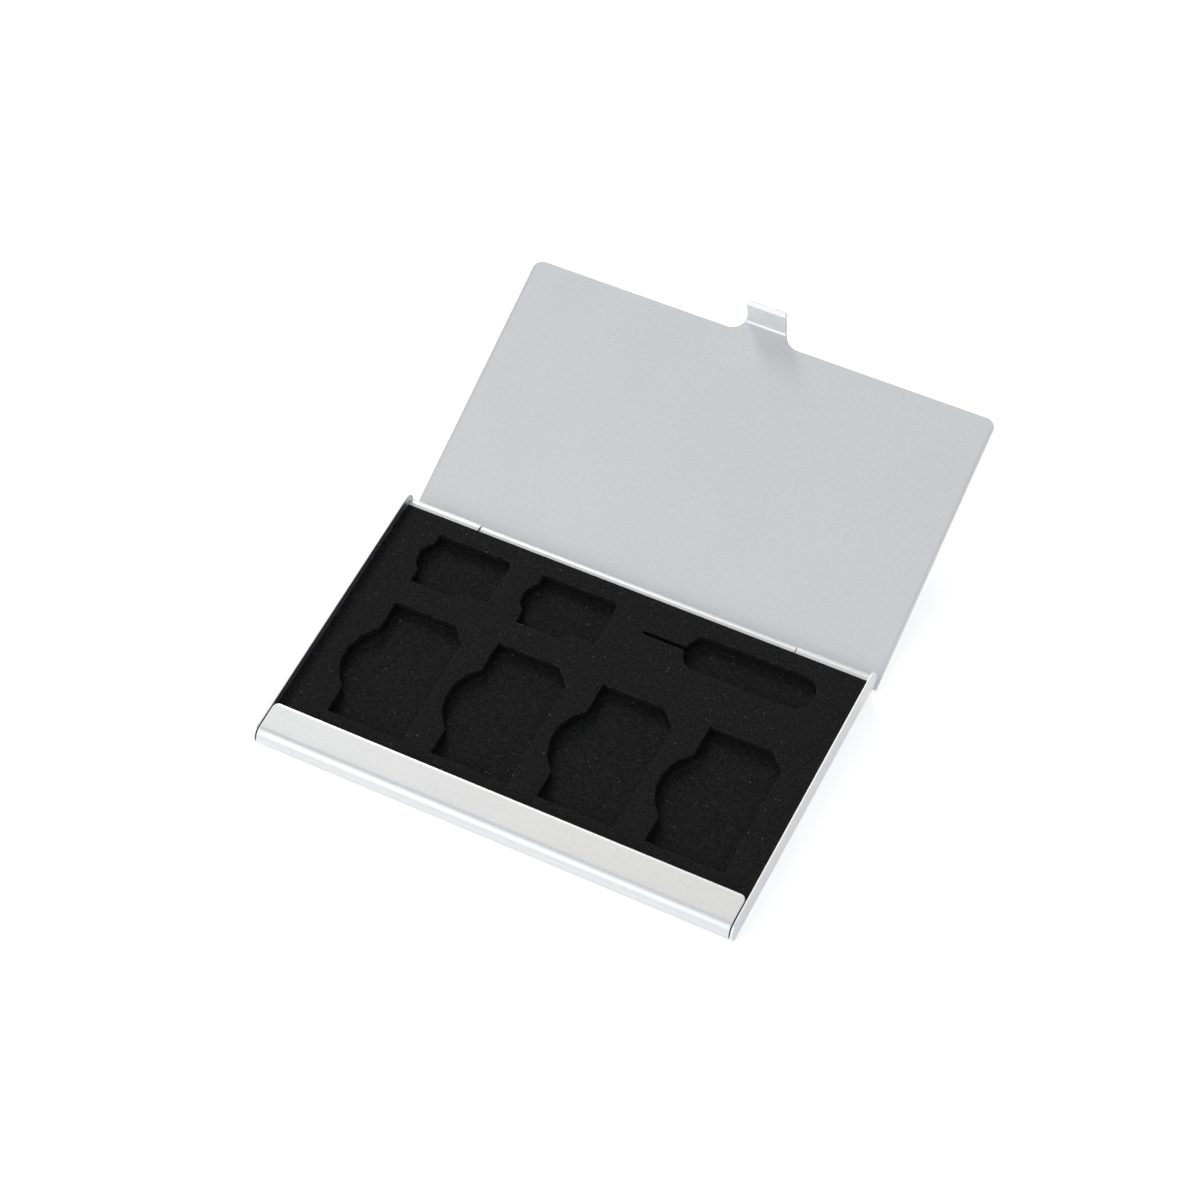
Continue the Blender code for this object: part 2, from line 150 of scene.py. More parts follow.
class CardCaseSheet(bpy.types.PropertyGroup):
    """The folded sheet metal of the tray and the lid"""
    thickness: length("Thickness", "Thickness of the aluminium sheet", 0.45 * MM)
    edge_round: length("Edge rounding", "Rounding of the sheet's cut edges", 0.12 * MM)
    tint: colour("Colour", "Colour of the anodised faces", (0.80, 0.805, 0.815))
    metal: share("Metal share", "How mirror-like the anodised faces are", 0.48)
    roughness: share("Roughness", "Roughness of the anodised faces", 0.37)
    edge_tint: colour("Edge colour", "Colour of the bright cut edges", (0.95, 0.95, 0.95))
    edge_metal: share("Edge metal share", "How mirror-like the cut edges are", 0.45)
    edge_roughness: share("Edge roughness", "Roughness of the cut edges", 0.4)


class CardCaseTray(bpy.types.PropertyGroup):
    """The tray's folds"""
    wall_bend: length("Wall bend", "Outer radius between the floor and a side wall", 0.75 * MM)
    seam: length("Seam", "Gap between the front roll and a side wall", 0.25 * MM)
    lip_depth: length("Lip depth", "From the roll's front to the lip's back edge", 7.48 * MM)
    lip_corner: length("Lip corner", "Radius of the lip's corners", 1.1 * MM)
    lip_curl: length("Lip curl", "Radius of the lip's curled back edge", 0.8 * MM)
    lip_turn: bend_angle("Lip turn", "How far the lip's back edge curls down", 30)
    floor_back: length("Floor back", "Where the floor ends behind the middle", 26.50 * MM)
    mark_length: length("Mark length", "Length of the mark pressed into the roll", 3.0 * MM)
    mark_width: length("Mark width", "Width of that mark", 1.1 * MM)
    mark_depth: length("Mark depth", "Depth of that mark", 0.24 * MM)
    mark_angle: bend_angle("Mark angle", "Where that mark lies, from the roll's bottom", 70)


class CardCaseHinge(bpy.types.PropertyGroup):
    """The rolled knuckles round the pin"""
    tray_clearance: length("Tray clearance", "Between the pin and a tray knuckle", 0.2 * MM)
    lid_clearance: length("Lid clearance", "Between the pin and the lid's knuckle", 0.05 * MM)
    knuckle_length: length("Knuckle length", "Length of the lid's knuckle", 63.6 * MM)
    swing_clearance: length("Swing clearance", "Room round the turning lid", 0.15 * MM)
    tray_wrap: bend_angle("Tray wrap", "How far a tray knuckle curls", 300)
    lid_wrap: bend_angle("Lid wrap", "How far the lid's knuckle curls", 290)
    opening: bend_angle("Opening", "How far the lid stands open", 163.7)


class CardCaseLid(bpy.types.PropertyGroup):
    """The lid's plate"""
    clearance: length("Clearance", "Between the tray's walls and the closed lid", 0.05 * MM)
    back_bend: length("Back bend", "Outer radius of the bend at the back", 0.9 * MM)
    corner: length("Corner", "Radius of the front corners", 2.0 * MM)


class CardCaseTab(bpy.types.PropertyGroup):
    """The latch tab that is bent down from the lid's front edge"""
    width: length("Width", "Width of the tab", 8.05 * MM)
    fillet: length("Fillet", "Radius where the tab leaves the edge", 3.3 * MM)
    swing: bend_angle("Swing", "How far that round swings", 78)
    reach: length("Reach", "From the lid's edge to the tab's first bend", 1.68 * MM)
    bend: length("Bend", "Inner radius of the first bend", 0.8 * MM)
    bend_turn: bend_angle("Bend turn", "How far the first bend turns", 50)
    curve: length("Curve", "Inner radius of the long curve after it", 5.06 * MM)
    curve_turn: bend_angle("Curve turn", "How far that curve turns", 30)
    straight: length("Straight", "Length of the straight with the bead", 0.95 * MM)
    flare_bend: length("Flare bend", "Inner radius of the bend back", 0.1 * MM)
    flare_turn: bend_angle("Flare turn", "How far that bend turns back", 62)
    flare: length("Flare", "Length of the flared end", 0.85 * MM)
    corner: length("Corner", "Radius of the tab's corners", 0.9 * MM)
    bead_length: length("Bead length", "Length of the pressed bead", 3.0 * MM)
    bead_width: length("Bead width", "Width of that bead", 0.9 * MM)
    bead_height: length("Bead height", "Height of that bead", 0.2 * MM)


class CardCaseFoam(bpy.types.PropertyGroup):
    """The cut foam and the sheet under it"""
    rim: length("Rim", "Rounding of the foam's cut rims", 0.16 * MM)
    clearance: length("Clearance", "Between the foam and the hinge barrel", 0.15 * MM)
    tint: colour("Foam colour", "Colour of the foam", (0.0091, 0.0089, 0.0090))
    # This colour is also used for the painted highlight on the foam's cut rims
    speck_and_rim_highlight_tint: colour("Speck colour", "Colour of the pale specks", (0.055, 0.055, 0.056))
    sheet_tint: colour("Backing colour", "Colour of the backing sheet", (0.0081, 0.0081, 0.0082))


class CardCasePockets(bpy.types.PropertyGroup):
    """The pockets that are cut through the foam"""
    card_width: length("Card width", "Width of a card pocket", 15.2 * MM)
    card_length: length("Card length", "Length of a card pocket", 25.02 * MM)
    card_cut: length("Card cut", "Size of its cut corner", 3.0 * MM)
    card_front: length("Card front", "From the tray's front to the card pockets", 10.63 * MM)
    card_gap: length("Card gap", "Foam left between a pocket and the next notch", 2.64 * MM)
    card_shift: length("Card shift", "How far their row stands right of the middle", 1.3 * MM)
    notch_chord: length("Notch chord", "Width of a card pocket's finger notch", 13.4 * MM)
    notch_depth: length("Notch depth", "Depth of that notch", 3.2 * MM)
    notch_place: length("Notch place", "From the pocket's back to the notch's middle", 12.9 * MM)
    notch_fillet: length("Notch fillet", "Radius that eases that notch in", 1.0 * MM)
    back_gap: length("Back gap", "From the foam's back to the back row", 3.61 * MM)
    small_width: length("Small width", "Width of a small pocket", 15.1 * MM)
    small_length: length("Small length", "Length of a small pocket", 11.0 * MM)
    small_step: length("Small step", "Depth of its step", 1.5 * MM)
    small_step_place: length("Small step place", "From its left side to the step", 8.5 * MM)
    small_corner: length("Small corner", "Radius of its round corner", 1.0 * MM)
    small_left: length("Small left", "From the middle to the first small pocket", 37.78 * MM)
    small_pitch: length("Small pitch", "From one small pocket to the next", 21.58 * MM)
    small_chord: length("Small notch chord", "Width of its finger notch", 6.4 * MM)
    small_depth: length("Small notch depth", "Depth of that notch", 1.6 * MM)
    small_place: length("Small notch place", "From its back to the notch's middle", 5.14 * MM)
    small_fillet: length("Small notch fillet", "Radius that eases that notch in", 0.6 * MM)
    eject_left: length("Eject left", "From the middle to the eject pin's pocket", 14.2 * MM)
    eject_right: length("Eject right", "From the middle to that pocket's end", 39.1 * MM)
    eject_width: length("Eject width", "Width of that pocket", 7.0 * MM)
    eject_corner: length("Eject corner", "Radius of its corners", 3.0 * MM)
    eject_fillet: length("Eject fillet", "Radius where the slit leaves it", 0.5 * MM)
    slit_length: length("Slit length", "Length of the slit for the shank", 8.6 * MM)
    slit_width: length("Slit width", "Width of that slit", 0.8 * MM)


class CardCaseStudio(bpy.types.PropertyGroup):
    """The floor, the light and the background"""
    floor_tint: colour("Floor colour", "Colour of the floor", (0.76, 0.76, 0.76))
    floor_glow: share("Floor glow", "Glow that the background rays see on the floor", 0.6)
    room_light: share("Room light", "Brightness of the pale room", 0.9, 4.0)
    room_tint: colour("Room colour", "Colour of the room in front", (0.84, 0.84, 0.84))
    dim_tint: colour("Dim colour", "Colour of the room's dimmer rest", (0.215, 0.27, 0.365))
    strip_tint: colour("Strip colour", "Colour of the pale strip behind", (0.88, 0.83, 0.64))
    back_size: length("Back lamp size", "Side of the soft lamp behind", 0.85)
    back_power: share("Back lamp power", "Power of that lamp, in watts", 37.0, 99.0)
    back_tint: colour("Back lamp colour", "Colour of that lamp", (1.0, 0.965, 0.90))
    front_size: length("Front lamp size", "Side of the soft lamp in front", 1.0)
    front_power: share("Front lamp power", "Power of that lamp, in watts", 5.8, 99.0)
    front_tint: colour("Front lamp colour", "Colour of that lamp", (0.94, 0.965, 1.0))


class CardCaseSettings(bpy.types.PropertyGroup):
    """All the sizes and colours of the case"""
    sheet: PointerProperty(type=CardCaseSheet)
    tray: PointerProperty(type=CardCaseTray)
    hinge: PointerProperty(type=CardCaseHinge)
    lid: PointerProperty(type=CardCaseLid)
    tab: PointerProperty(type=CardCaseTab)
    foam: PointerProperty(type=CardCaseFoam)
    pockets: PointerProperty(type=CardCasePockets)
    studio: PointerProperty(type=CardCaseStudio)


# Lines and surfaces


def unit(angle):
    """Unit vectors at angles in radians: cosine and sine."""
    return np.stack([np.cos(angle), np.sin(angle)], axis=-1)


def fold_line(start, heading, *moves):
    """Middle line of a folded sheet in its section plane, as travel, points and left normals.

    A move (length, 0) walks straight on: the start plus the heading's unit vector times the
    distance walked. A move (radius, angle) turns left by the angle, or right where it is
    negative: its points lie round a centre that stands one radius to that side.
    """
    points, headings = [np.array([start], float)], [np.array([heading], float)]
    for size, angle in moves:
        here, facing = points[-1][-1], headings[-1][-1]
        pieces = max(1, round(abs(angle) / FINE))
        part = np.linspace(0, 1, pieces + 1)[1:]
        if angle:
            side = math.copysign(size, angle)
            centre = here + side * unit(facing + QUARTER)
            turned = facing + angle * part
            points.append(centre - side * unit(turned + QUARTER))
        else:
            turned = np.full(pieces, facing)
            points.append(here + size * part[:, None] * unit(facing))
        headings.append(turned)
    points = np.concatenate(points)
    steps = np.linalg.norm(np.diff(points, axis=0), axis=1)
    travel = np.concatenate([[0.0], np.cumsum(steps)])
    return travel, points, unit(np.concatenate(headings) + QUARTER)


def fold(x, s, line, dent=0.0):
    """Bends a flat pattern: the point at travel s on the line, moved by the dent to its left."""
    travel, points, normals = line
    y, z = (np.interp(s, travel, points[:, axis]) for axis in (0, 1))
    left_y, left_z = (np.interp(s, travel, normals[:, axis]) for axis in (0, 1))
    return np.stack([x, y + dent * left_y, z + dent * left_z], axis=-1)


def round_corners(x, s, half, end, radius):
    """Rounds the two end corners of a strip that is 2 half wide and ends at travel end.

    Inside each corner's square, u and v go from 0 to 1 across and along. The point moves to
    u times the root of 1 - v2 / 2 across, and v times the root of 1 - u2 / 2 along, which
    turns the square into a quarter disc.
    """
    u = np.clip((np.abs(x) - (half - radius)) / radius, 0, None)
    v = np.clip((s - (end - radius)) / radius, 0, None)
    across = half - radius + radius * u * np.sqrt(1 - v ** 2 / 2)
    along = end - radius + radius * v * np.sqrt(1 - np.minimum(u, 1) ** 2 / 2)
    return np.where(u > 0, np.sign(x) * across, x), np.where(v > 0, along, s)


def pressed(x, s, place, size, depth):
    """A long pressed mark: the depth times 1 less the squared distance in the mark's ellipse."""
    away = (x / (size[0] / 2)) ** 2 + ((s - place) / (size[1] / 2)) ** 2
    return depth * np.clip(1 - away, 0, None)


def stretch(*stops):
    """Numbers that run through the stops. Each stop after the first is (end, pieces)."""
    parts = [np.array([stops[0]], float)]
    for end, pieces in stops[1:]:
        parts.append(np.linspace(parts[-1][-1], end, pieces + 1)[1:])
    return np.concatenate(parts)


def both_sides(x):
    """Numbers from 0 up, with their negatives in front."""
    return np.concatenate([-x[:0:-1], x])


class Patchwork:
    """Grids of points that meet at shared points, gathered into one mesh."""

    def __init__(self):
        self.points, self.faces, self.count = [], [], 0

    def add(self, grid, closed=False):
        """Adds a grid of rows and columns. A closed grid's last column meets its first."""
        rows, columns = grid.shape[:2]
        first = np.arange(columns if closed else columns - 1)
        second = (first + 1) % columns
        row = np.arange(rows - 1)[:, None] * columns + self.count
        quads = [row + first, row + second, row + columns + second, row + columns + first]
        self.add_faces(grid.reshape(-1, 3), np.stack(quads, axis=-1).reshape(-1, 4))

    def add_faces(self, points, faces):
        self.points.append(points)
        self.faces.extend(faces.tolist())
        self.count += len(points)

    def make(self, name, move=None):
        """The mesh's object, with shared points welded and faces turned the same way."""
        mesh = bpy.data.meshes.new(name)
        mesh.from_pydata(np.concatenate(self.points).tolist(), [], self.faces)
        shape = bmesh.new()
        shape.from_mesh(mesh)
        bmesh.ops.remove_doubles(shape, verts=shape.verts, dist=WELD)
        bmesh.ops.dissolve_degenerate(shape, edges=shape.edges, dist=WELD)
        bmesh.ops.recalc_face_normals(shape, faces=shape.faces)
        if move:
            bmesh.ops.transform(shape, matrix=move, verts=shape.verts)
        shape.to_mesh(mesh)
        shape.free()
        mesh.shade_smooth()
        item = bpy.data.objects.new(name, mesh)
        bpy.context.scene.collection.objects.link(item)
        return item


def give_sheet(item, sheet):
    """Gives a bent pattern its thickness and rounds its cut edges."""
    solid = item.modifiers.new("thickness", "SOLIDIFY")
    solid.thickness = sheet.thickness
    solid.offset = 0.0
    solid.material_offset_rim = 1
    edges = item.modifiers.new("edges", "BEVEL")
    edges.width = sheet.edge_round
    edges.segments = 4
    edges.material = 1
    edges.limit_method = "ANGLE"
    edges.angle_limit = math.radians(50)
    edges.use_clamp_overlap = False
    edges.harden_normals = True


def place_piece(item, body, nodes, materials):
    for material in materials:
        item.data.materials.append(material)
    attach(item, body)
    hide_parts(*nodes)
    return item


# Finishes


def new_finish(name):
    """A material with its node tree and its Principled shader."""
    material = bpy.data.materials.new(name)
    material.use_nodes = True
    return material, material.node_tree, material.node_tree.nodes["Principled BSDF"]


def join(tree, item, inputs):
    """Sets a node's inputs, each to a plain value or to another node's socket."""
    for key, value in inputs.items():
        if isinstance(value, bpy.types.NodeSocket):
            tree.links.new(value, item.inputs[key])
        else:
            item.inputs[key].default_value = value


def put(tree, kind, inputs=None, **settings):
    """Adds a shader node and sets its properties and its inputs."""
    item = tree.nodes.new(kind)
    for key, value in settings.items():
        setattr(item, key, value)
    join(tree, item, inputs or {})
    return item


def maths(tree, operation, *values):
    """Result of a maths node, whose values are numbers or sockets."""
    return put(tree, "ShaderNodeMath", dict(enumerate(values)),
               operation=operation).outputs["Value"]


def object_noise(tree, scale, detail=2.0, roughness=0.5):
    """Noise on the piece's own coordinates, with scale waves to the metre."""
    place = put(tree, "ShaderNodeTexCoord").outputs["Object"]
    return put(tree, "ShaderNodeTexNoise", {"Vector": place, "Scale": scale, "Detail": detail,
                                            "Roughness": roughness}).outputs["Fac"]


def between(tree, value, low, high, start=0.3, end=0.7):
    """Spreads a value from start..end to low..high."""
    return put(tree, "ShaderNodeMapRange", {"Value": value, "From Min": start, "From Max": end,
                                            "To Min": low, "To Max": high}).outputs["Result"]


def smooth_step(tree, value, start, end):
    """Goes softly from 0 to 1 as the value goes from start to end."""
    return put(tree, "ShaderNodeMapRange", {"Value": value, "From Min": start, "From Max": end},
               interpolation_type="SMOOTHSTEP").outputs["Result"]


def blend_colours(tree, fac, first, second):
    """Mixes two colours, each a plain colour or a socket."""
    first, second = (value if isinstance(value, bpy.types.NodeSocket) else (*value, 1)
                     for value in (first, second))
    return put(tree, "ShaderNodeMix", {"Factor": fac, "A": first, "B": second},
               data_type="RGBA").outputs["Result"]


def bumps(tree, height, strength, distance):
    """Normals of a surface that is raised by the height."""
    return put(tree, "ShaderNodeBump", {"Height": height, "Strength": strength,
                                        "Distance": distance}).outputs["Normal"]


def satin_aluminium(name, sheet, inner_wall):
    """Anodised sheet: a fine blasted grain, and a faint cloudiness in colour and gloss.

    The inner faces of the side walls, where X or -X is the inner wall's place, are left more
    mirror-like, so that they show the black foam.
    """
    material, tree, shader = new_finish(name)
    place = put(tree, "ShaderNodeTexCoord").outputs["Object"]
    x = put(tree, "ShaderNodeSeparateXYZ", {"Vector": place}).outputs["X"]
    skin = 0.12 * MM
    inner = maths(tree, "COMPARE", maths(tree, "ABSOLUTE", x), inner_wall, skin)
    cloud = object_noise(tree, 60, 3.0)
    grain = object_noise(tree, 4200, 2.0)
    tint = tuple(sheet.tint)
    darker = tuple(0.945 * part for part in tint)
    paler = tuple(min(1.0, 1.055 * part) for part in tint)
    join(tree, shader, {
        "Metallic": between(tree, inner, sheet.metal, 1.0, 0.0, 1.0),
        "Base Color": blend_colours(tree, between(tree, grain, 0, 1), darker, paler),
        "Roughness": between(tree, cloud, sheet.roughness - 0.01, sheet.roughness + 0.01),
        "Normal": bumps(tree, grain, 0.25, 0.004 * MM),
    })
    return material


def cut_aluminium(sheet):
    """Bright cut edge of the sheet, with fine shearing lines across it."""
    material, tree, shader = new_finish("cut_aluminium")
    wear = object_noise(tree, 1500, 2.0)
    lines = object_noise(tree, 9000, 1.0)
    tint = tuple(sheet.edge_tint)
    darker = tuple(0.96 * part for part in tint)
    join(tree, shader, {
        "Metallic": sheet.edge_metal,
        "Base Color": blend_colours(tree, between(tree, wear, 0, 1), darker, tint),
        "Roughness": sheet.edge_roughness,
        "Normal": bumps(tree, lines, 0.2, 0.005 * MM),
    })
    return material


def drawn_steel():
    """Pin wire with fine drawing lines along it."""
    material, tree, shader = new_finish("drawn_steel")
    place = put(tree, "ShaderNodeTexCoord").outputs["Object"]
    long_lines = put(tree, "ShaderNodeMapping", {"Vector": place, "Scale": (200, 9000, 9000)})
    lines = put(tree, "ShaderNodeTexNoise", {"Vector": long_lines.outputs["Vector"],
                                             "Scale": 1.0, "Detail": 2.0}).outputs["Fac"]
    join(tree, shader, {
        "Metallic": 1.0,
        "Base Color": blend_colours(tree, between(tree, lines, 0, 1), (0.55, 0.54, 0.53),
                                    (0.66, 0.65, 0.64)),
        "Roughness": between(tree, lines, 0.24, 0.34),
    })
    return material


def black_foam(name, tint, speck_and_rim_highlight_tint, pore_depth, top):
    """Closed-cell foam: small pores, a dusty grain, and pale specks of cut cell walls.

    A speck is the middle of a random cell, kept in about half of the cells, and only a few
    of them are bright. The cut rims just below the top are painted paler in patches, a
    painted highlight where the rims catch the light.
    """
    material, tree, shader = new_finish(name)
    place = put(tree, "ShaderNodeTexCoord").outputs["Object"]
    cells = put(tree, "ShaderNodeTexVoronoi", {"Vector": place, "Scale": 1500.0})
    kept = put(tree, "ShaderNodeSeparateColor", {"Color": cells.outputs["Color"]})
    size = between(tree, kept.outputs["Red"], 0.0, 0.34, 0.45, 1.0)
    inside = maths(tree, "SUBTRACT", size, cells.outputs["Distance"])
    bright = maths(tree, "POWER", kept.outputs["Green"], 2.0)
    speck = maths(tree, "MULTIPLY", between(tree, inside, 0, 1, 0.0, 0.06), bright)
    grain = object_noise(tree, 2500, 1.0, 0.5)
    shade = between(tree, grain, 0.0, 1.0, 0.34, 0.66)
    ground = blend_colours(tree, shade, tuple(0.4 * part for part in tint),
                           tuple(1.6 * part for part in tint))
    height = put(tree, "ShaderNodeSeparateXYZ", {"Vector": place}).outputs["Z"]
    # Painted highlight: a paler band just below the top, broken into patches, stands in for the
    # light that the cut rims catch
    rim_drop, rim_half = 0.08 * MM, 0.07 * MM
    rim = maths(tree, "COMPARE", height, top - rim_drop, rim_half)
    rim_highlight_patches = between(tree, object_noise(tree, 900), 0, 0.5, 0.45, 0.62)
    painted_rim_highlight = maths(tree, "MULTIPLY", rim, rim_highlight_patches)
    ground = blend_colours(tree, painted_rim_highlight, ground, speck_and_rim_highlight_tint)
    pores = put(tree, "ShaderNodeTexVoronoi", {"Vector": place, "Scale": 3400.0})
    relief = maths(tree, "ADD", pores.outputs["Distance"], grain)
    join(tree, shader, {
        "Base Color": blend_colours(tree, speck, ground, speck_and_rim_highlight_tint),
        "Roughness": 0.85,
        "Specular IOR Level": 0.12,
        "Normal": bumps(tree, relief, 0.6, pore_depth),
    })
    return material


def clear_film():
    """Adhesive film under the foam, a little cloudy."""
    material, tree, shader = new_finish("clear_film")
    cloud = object_noise(tree, 400, 3.0)
    join(tree, shader, {
        "Base Color": blend_colours(tree, between(tree, cloud, 0, 1), (0.78, 0.76, 0.68),
                                    (0.85, 0.83, 0.76)),
        "Roughness": 0.4,
    })
    return material


def background_rays(tree):
    """1 for the camera's rays and for those that metal or glass passes on, and 0 elsewhere."""
    path = put(tree, "ShaderNodeLightPath").outputs
    passed_on = maths(tree, "MAXIMUM", path["Is Glossy Ray"], path["Is Transmission Ray"])
    return maths(tree, "MAXIMUM", passed_on, path["Is Camera Ray"])


def floor_paint(tint, strength):
    """Pale matt floor. The camera and metal see it white but for the object's own shadow."""
    material, tree, shader = new_finish("pale_floor")
    join(tree, shader, {
        "Base Color": (*tint, 1),
        "Roughness": 0.9,
        "Specular IOR Level": 0.0,
        "Emission Color": (1, 1, 1, 1),
        "Emission Strength": maths(tree, "MULTIPLY", background_rays(tree), strength),
    })
    return material


# Metal shells


def tray_shell(case):
    """The tray: floor, walls with half-round ends, front roll with its lip, and two knuckles."""
    sheet, tray, hinge = case.sheet, case.tray, case.hinge
    thick = sheet.thickness
    half_width = TRAY_HIGH.x
    radius = TRAY_HIGH.z / 2
    roll_y = TRAY_LOW.y + radius
    bend_x = half_width - tray.wall_bend
    half_fold = half_width - thick - tray.seam
    knuckle_end = hinge.knuckle_length / 2 + tray.seam
    corner = tray.lip_corner

    x = both_sides(stretch(0, (MARK_GRID, 14), (knuckle_end, 12),
                           (half_fold - CORNER_GRID * corner, 6), (bend_x, 7)))
    widen = half_fold / bend_x
    work = Patchwork()

    rows = stretch(roll_y, (0, 3), (tray.floor_back, 3))
    column, row = np.meshgrid(x, rows)
    work.add(np.stack([column, row, np.full_like(row, thick / 2)], axis=-1))

    roll = fold_line((roll_y, thick / 2), math.pi, (radius - thick / 2, -math.pi),
                     (tray.lip_depth - radius - tray.lip_curl * math.sin(tray.lip_turn), 0),
                     (tray.lip_curl, -tray.lip_turn))
    round_end = math.pi * (radius - thick / 2)
    lip_end = roll[0][-1]
    s = stretch(0, (round_end, 72), (lip_end - CORNER_GRID * corner, 4), (lip_end, 8))
    column, travel = np.meshgrid(x, s)
    column = np.where(travel > 0, column * widen, column)
    mark_place = tray.mark_angle * (radius - thick / 2)
    size = (tray.mark_length, tray.mark_width)
    dent = -pressed(column, travel, mark_place, size, tray.mark_depth)
    column, travel = round_corners(column, travel, half_fold, lip_end, corner)
    work.add(fold(column, travel, roll, dent))

    wall = fold_line((bend_x, thick / 2), 0, (tray.wall_bend - thick / 2, QUARTER),
                     (TRAY_HIGH.z - tray.wall_bend, 0))
    turned = np.radians([0, 12, 23, 35, 48, 62, 76])
    low = tray.wall_bend - (tray.wall_bend - thick / 2) * np.cos(turned)
    heights = np.concatenate([low, stretch(tray.wall_bend, (radius, 4), (TRAY_HIGH.z, 6))])
    free = heights[3:]
    below = (free - radius) / (radius - free[0])
    above = (free - radius) / radius
    part, upward = np.meshgrid(np.linspace(0, 1, 9), np.where(free < radius, below, above))
    reach = np.where(upward < 0, radius - free[0], radius)
    end_z = radius + reach * upward * np.sqrt(1 - part ** 2 / 2)
    end_away = radius * part * np.sqrt(1 - upward ** 2 / 2)
    straight_y, straight_z = np.meshgrid(rows, heights)
    back_y, back_z = np.meshgrid([tray.floor_back, -roll_y], free)
    for side in (-1, 1):
        for y, z in ((straight_y, straight_z), (back_y, back_z), (roll_y - end_away, end_z),
                     (end_away - roll_y, end_z)):
            across = np.interp(z, wall[1][:, 1], wall[1][:, 0])
            work.add(np.stack([side * across, y, z], axis=-1))

    middle = PIN_RADIUS + hinge.tray_clearance + thick / 2
    curl = fold_line((tray.floor_back, thick / 2), 0, (PIVOT.y - tray.floor_back, 0),
                     (middle, hinge.tray_wrap))
    s = stretch(0, (PIVOT.y - tray.floor_back, 2), (curl[0][-1], 110))
    for side in (-1, 1):
        column, travel = np.meshgrid(x[side * x >= knuckle_end - WELD], s)
        column = np.where((travel > 0) & (side * column > bend_x - WELD), side * half_fold, column)
        work.add(fold(column, travel, curl))
    item = work.make("tray_shell")
    give_sheet(item, sheet)
    return item


def lid_shell(case):
    """The lid, worked out closed about the pin and then turned open."""
    sheet, tray, hinge, lid, tab = case.sheet, case.tray, case.hinge, case.lid, case.tab
    thick = sheet.thickness
    half_width = TRAY_HIGH.x
    half_fold = half_width - thick - tray.seam
    radius = TRAY_HIGH.z / 2
    middle = PIN_RADIUS + hinge.lid_clearance + thick / 2
    bend = lid.back_bend - thick / 2
    free_edge = 2 * math.pi - hinge.lid_wrap
    room = PIVOT.z + hinge.swing_clearance
    rise = TRAY_HIGH.z + lid.clearance + thick - lid.back_bend - PIVOT.z
    front = TRAY_LOW.y + radius - PIVOT.y
    plate = middle - bend - front

    line = fold_line(middle * unit(np.array(free_edge)), free_edge + QUARTER,
                     (middle, hinge.lid_wrap), (rise, 0), (bend, QUARTER),
                     (plate + tab.reach, 0), (tab.bend + thick / 2, tab.bend_turn),
                     (tab.curve + thick / 2, tab.curve_turn), (tab.straight, 0),
                     (tab.flare_bend + thick / 2, -tab.flare_turn), (tab.flare, 0))
    curl_end = middle * hinge.lid_wrap
    notch = curl_end + room
    bend_start = curl_end + rise
    side_start = bend_start + bend * FULL_WIDTH_TURN
    plate_start = bend_start + bend * QUARTER
    front_edge = plate_start + plate
    tip = line[0][-1]

    half_root = tab.width / 2 + tab.fillet * (1 - math.cos(tab.swing))
    inner = stretch(0, (half_root, 36))
    strip = stretch(half_root, (hinge.knuckle_length / 2, 10))[1:]
    corner_start = half_width - CORNER_GRID * lid.corner
    outer = stretch(hinge.knuckle_length / 2, (corner_start, 6))[1:]
    last = stretch(corner_start, (half_fold, 6), (half_width, 2))[1:]
    work = Patchwork()

    x = both_sides(np.concatenate([inner, strip]))
    column, travel = np.meshgrid(x, stretch(0, (curl_end, 110), (notch, 2)))
    work.add(fold(column, travel, line))

    x = both_sides(np.concatenate([inner, strip, outer, last[:6]]))
    column, travel = np.meshgrid(x, stretch(notch, (bend_start, 2), (side_start, 26)))
    work.add(fold(column, travel, line))

    x = both_sides(np.concatenate([inner, strip, outer, last]))
    s = stretch(side_start, (plate_start, 2), (front_edge - CORNER_GRID * lid.corner, 12),
                (front_edge, 9))
    column, travel = np.meshgrid(x, s)
    work.add(fold(*round_corners(column, travel, half_width, front_edge, lid.corner), line))

    x = both_sides(inner)
    s = stretch(front_edge, (front_edge + tab.reach, 14), (tip - TAB_END_GRID, 40), (tip, 34))
    column, travel = np.meshgrid(x, s)
    away = np.interp(front_edge, line[0], line[1][:, 0]) - fold(column, travel, line)[..., 1]
    into = np.clip(tab.fillet * math.sin(tab.swing) - away, 0, None)
    half = tab.width / 2 + tab.fillet - np.sqrt(tab.fillet ** 2 - into ** 2)
    column = column * half / half_root
    bent = (tab.bend_turn * (tab.bend + thick / 2)
            + tab.curve_turn * (tab.curve + thick / 2))
    bead_place = front_edge + tab.reach + bent + tab.straight / 2
    size = (tab.bead_length, tab.bead_width)
    dent = pressed(column, travel, bead_place, size, tab.bead_height)
    column, travel = round_corners(column, travel, tab.width / 2, tip, tab.corner)
    work.add(fold(column, travel, line, dent))

    opened = Matrix.Translation(PIVOT) @ Matrix.Rotation(-hinge.opening, 4, "X")
    item = work.make("lid_shell", opened)
    give_sheet(item, sheet)
    return item


# Foam


def arc(centre, radius, first, last, pieces=14):
    """Points round a centre, from one angle to another in degrees."""
    return np.array(centre) + radius * unit(np.radians(np.linspace(first, last, pieces + 1)))


def finger_notch(left, centre, chord, depth, fillet):
    """Left side of a pocket with a round notch for a fingertip, eased into the side."""
    radius = (chord ** 2 / 4 + depth ** 2) / (2 * depth)
    offset = radius - depth
    reach = math.sqrt((radius + fillet) ** 2 - (offset + fillet) ** 2)
    swing = math.degrees(math.atan2(reach, offset + fillet))
    return np.concatenate([
        arc((left - fillet, centre + reach), fillet, 0, -swing, 5),
        arc((left + offset, centre), radius, 180 - swing, 180 + swing, 30),
        arc((left - fillet, centre - reach), fillet, swing, 0, 5),
    ])


